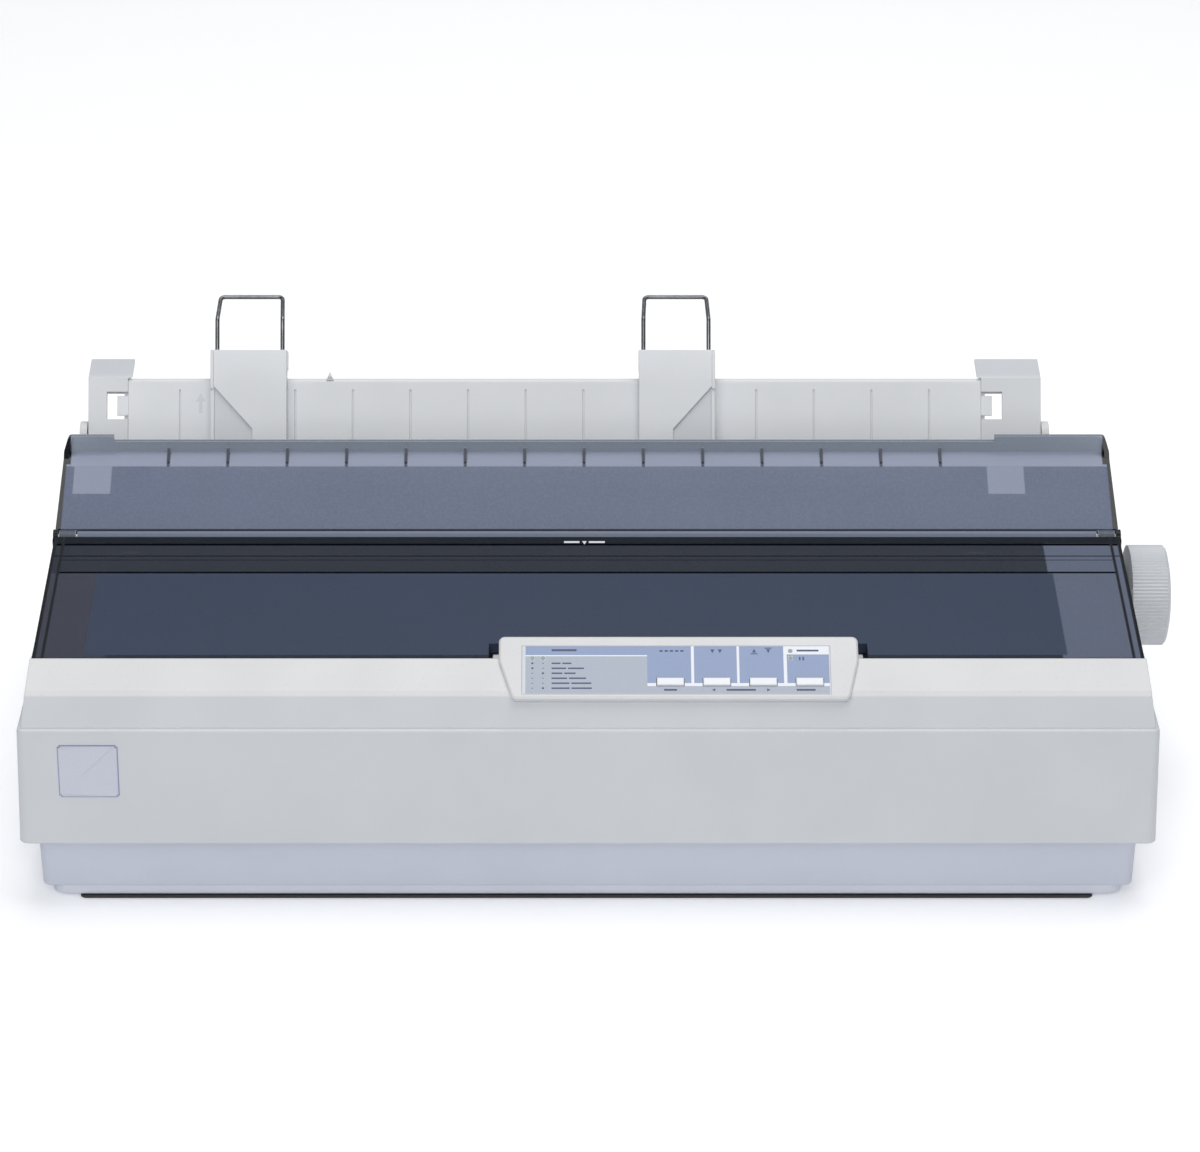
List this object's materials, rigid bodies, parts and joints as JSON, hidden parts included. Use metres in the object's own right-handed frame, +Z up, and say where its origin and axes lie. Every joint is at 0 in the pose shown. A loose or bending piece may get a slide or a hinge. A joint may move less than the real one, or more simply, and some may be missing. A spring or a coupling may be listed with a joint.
{
  "type": "dot matrix printer",
  "caption": "Wide-carriage dot matrix printer with hinged smoke covers, leaning sheet guide, platen knob, tractors and a working paper and carriage drive.",
  "frame": {"origin": "middle of the case footprint, on the surface that the feet stand on", "axes": "+X to the right seen from the front and along the platen, +Y to the back, +Z up"},
  "size_m": [0.5704, 0.295, 0.2015],
  "materials": {
    "case_grey": "moulded, fine grain",
    "base_grey": "moulded, fine grain",
    "guide_white": "moulded, fine grain",
    "smoke_plastic": "smoke-tinted, clear, frosted in the middle",
    "bar_plastic": "smoke-tinted",
    "dark_sheet": "satin",
    "rubber": "matte",
    "platen_rubber": "ground",
    "zinc": "zinc-plated sheet",
    "steel": "ground",
    "wire": "plated wire",
    "overlay": "printed film",
    "button_white": "satin",
    "lamp": "tinted lens",
    "circuit_board": "solder mask",
    "motor": "satin",
    "black_plastic": "moulded",
    "inked_fabric": "woven, inked",
    "connector_metal": "plated",
    "gear_plastic": "moulded",
    "brass": "turned",
    "head_aluminium": "cast, black anodised",
    "lever_plastic": "moulded",
    "knob_plastic": "moulded"
  },
  "bodies": {
    "case": {"lower_case": "base_grey", "bottom_plate": "dark_sheet", "rubber_feet": "rubber", "upper_case": "case_grey", "case_screws": "zinc", "control_panel": "case_grey", "panel_overlay": "overlay", "panel_board": "circuit_board", "indicator_leds": "lamp", "hinge_pins": "steel", "base_frame": "zinc", "left_side_frame": "zinc", "right_side_frame": "zinc", "paper_feed_motor": "motor", "carriage_shaft": "steel", "carriage_bed": "zinc", "carriage_motor": "motor", "timing_belt": "rubber", "ribbon_cartridge": "black_plastic", "ink_ribbon": "inked_fabric", "paper_guide": "black_plastic", "tractor_rail": "steel", "main_board": "circuit_board", "power_supply": "circuit_board", "ac_inlet": "black_plastic", "interface_connector": "connector_metal", "power_switch": "black_plastic"},
    "printer_cover": {"printer_cover": "smoke_plastic", "tear_off_bar": "bar_plastic"},
    "rear_cover": {"rear_cover": "smoke_plastic"},
    "sheet_guide": {"sheet_guide": "guide_white", "guide_brackets": "guide_white"},
    "left_edge_guide": {"left_edge_guide": "guide_white"},
    "right_edge_guide": {"right_edge_guide": "guide_white"},
    "left_wire_support": {"left_wire_support": "wire"},
    "right_wire_support": {"right_wire_support": "wire"},
    "platen": {"platen_roller": "platen_rubber", "platen_shaft": "steel", "platen_knob": "case_grey", "platen_gear": "gear_plastic"},
    "idler": {"idler_gear": "gear_plastic"},
    "feed_pinion": {"motor_pinion": "brass"},
    "pressure_rollers": {"pressure_rollers": "rubber"},
    "tractor_drive": {"tractor_shaft": "steel", "tractor_gear": "gear_plastic"},
    "left_tractor": {"left_tractor": "black_plastic"},
    "right_tractor": {"right_tractor": "black_plastic"},
    "left_tractor_lid": {"left_tractor_lid": "black_plastic"},
    "right_tractor_lid": {"right_tractor_lid": "black_plastic"},
    "carriage": {"carriage": "black_plastic", "print_head": "head_aluminium"},
    "drive_pulley": {"drive_pulley": "gear_plastic"},
    "idler_pulley": {"idler_pulley": "gear_plastic"},
    "head_gap_lever": {"head_gap_lever": "lever_plastic"},
    "power_rocker": {"power_rocker": "black_plastic"},
    "ribbon_knob": {"ribbon_knob": "knob_plastic"},
    "panel_button_1": {"panel_button_1": "button_white"},
    "panel_button_2": {"panel_button_2": "button_white"},
    "panel_button_3": {"panel_button_3": "button_white"},
    "panel_button_4": {"panel_button_4": "button_white"}
  },
  "joints": [
    {"name": "printer_cover_hinge", "type": "hinge", "parent": "case", "child": "printer_cover", "pos_m": [0, 0.0015, 0.1332], "axis": [-1, 0, 0], "range_deg": [0, 100]},
    {"name": "rear_cover_hinge", "type": "hinge", "parent": "case", "child": "rear_cover", "pos_m": [0, 0.0145, 0.129], "axis": [1, 0, 0], "range_deg": [0, 45]},
    {"name": "sheet_guide_tilt", "type": "hinge", "parent": "case", "child": "sheet_guide", "pos_m": [0, 0.11798, 0.13619], "axis": [-1, 0, 0], "range_deg": [0, 55]},
    {"name": "left_guide_slide", "type": "slide", "parent": "sheet_guide", "child": "left_edge_guide", "axis": [1, 0, 0], "range_m": [-0.037, 0.095]},
    {"name": "right_guide_slide", "type": "slide", "parent": "sheet_guide", "child": "right_edge_guide", "axis": [1, 0, 0], "range_m": [-0.075, 0.134]},
    {"name": "left_wire_slide", "type": "slide", "parent": "left_edge_guide", "child": "left_wire_support", "axis": [0, 0.4695, 0.8829], "range_m": [-0.015, 0]},
    {"name": "right_wire_slide", "type": "slide", "parent": "right_edge_guide", "child": "right_wire_support", "axis": [0, 0.4695, 0.8829], "range_m": [-0.015, 0]},
    {"name": "platen_spin", "type": "hinge", "parent": "case", "child": "platen", "pos_m": [0, 0.014, 0.0943], "axis": [1, 0, 0], "continuous": true},
    {"name": "idler_spin", "type": "hinge", "parent": "case", "child": "idler", "pos_m": [-0.25, 0.04864, 0.08805], "axis": [1, 0, 0], "continuous": true},
    {"name": "feed_motor_spin", "type": "hinge", "parent": "case", "child": "feed_pinion", "pos_m": [-0.25, 0.04864, 0.06605], "axis": [1, 0, 0], "continuous": true},
    {"name": "pressure_roller_spin", "type": "hinge", "parent": "case", "child": "pressure_rollers", "pos_m": [0, 0.02026, 0.0771], "axis": [1, 0, 0], "continuous": true},
    {"name": "tractor_drive_spin", "type": "hinge", "parent": "case", "child": "tractor_drive", "pos_m": [0, 0.076, 0.094], "axis": [1, 0, 0], "continuous": true},
    {"name": "left_tractor_slide", "type": "slide", "parent": "case", "child": "left_tractor", "axis": [1, 0, 0], "range_m": [-0.008, 0.1]},
    {"name": "right_tractor_slide", "type": "slide", "parent": "case", "child": "right_tractor", "axis": [1, 0, 0], "range_m": [-0.22, 0.01]},
    {"name": "left_tractor_lid_hinge", "type": "hinge", "parent": "left_tractor", "child": "left_tractor_lid", "pos_m": [-0.2287, 0.076, 0.1082], "axis": [0, -1, 0], "range_deg": [0, 75]},
    {"name": "right_tractor_lid_hinge", "type": "hinge", "parent": "right_tractor", "child": "right_tractor_lid", "pos_m": [0.1927, 0.076, 0.1082], "axis": [0, 1, 0], "range_deg": [0, 75]},
    {"name": "carriage_slide", "type": "slide", "parent": "case", "child": "carriage", "axis": [1, 0, 0], "range_m": [0, 0.372]},
    {"name": "drive_pulley_spin", "type": "hinge", "parent": "case", "child": "drive_pulley", "pos_m": [-0.222, -0.041, 0.054], "axis": [0, 0, 1], "continuous": true},
    {"name": "idler_pulley_spin", "type": "hinge", "parent": "case", "child": "idler_pulley", "pos_m": [0.198, -0.041, 0.054], "axis": [0, 0, 1], "continuous": true},
    {"name": "head_gap_turn", "type": "hinge", "parent": "case", "child": "head_gap_lever", "pos_m": [-0.243, -0.041, 0.07], "axis": [1, 0, 0], "range_deg": [-8, 10]},
    {"name": "power_rocker_tilt", "type": "hinge", "parent": "case", "child": "power_rocker", "pos_m": [-0.2684, -0.092, 0.07], "axis": [0, 1, 0], "range_deg": [-18, 0]},
    {"name": "ribbon_knob_spin", "type": "hinge", "parent": "case", "child": "ribbon_knob", "pos_m": [-0.205, -0.08, 0.11], "axis": [0, 0, 1], "continuous": true},
    {"name": "panel_button_1_press", "type": "slide", "parent": "case", "child": "panel_button_1", "axis": [0, 0.5534, -0.8329], "range_m": [0, 0.0008], "stiffness_N_per_m": 600, "springref_m": -0.0003},
    {"name": "panel_button_2_press", "type": "slide", "parent": "case", "child": "panel_button_2", "axis": [0, 0.5534, -0.8329], "range_m": [0, 0.0008], "stiffness_N_per_m": 600, "springref_m": -0.0003},
    {"name": "panel_button_3_press", "type": "slide", "parent": "case", "child": "panel_button_3", "axis": [0, 0.5534, -0.8329], "range_m": [0, 0.0008], "stiffness_N_per_m": 600, "springref_m": -0.0003},
    {"name": "panel_button_4_press", "type": "slide", "parent": "case", "child": "panel_button_4", "axis": [0, 0.5534, -0.8329], "range_m": [0, 0.0008], "stiffness_N_per_m": 600, "springref_m": -0.0003}
  ],
  "couplings": [
    {"joint": "idler_spin", "follows": "platen_spin", "ratio": -1.2},
    {"joint": "feed_motor_spin", "follows": "platen_spin", "ratio": 3.2},
    {"joint": "tractor_drive_spin", "follows": "platen_spin", "ratio": 1.6},
    {"joint": "pressure_roller_spin", "follows": "platen_spin", "ratio": -3},
    {"joint": "drive_pulley_spin", "follows": "carriage_slide", "rad_per_m": -181.82},
    {"joint": "idler_pulley_spin", "follows": "carriage_slide", "rad_per_m": -181.82}
  ]
}
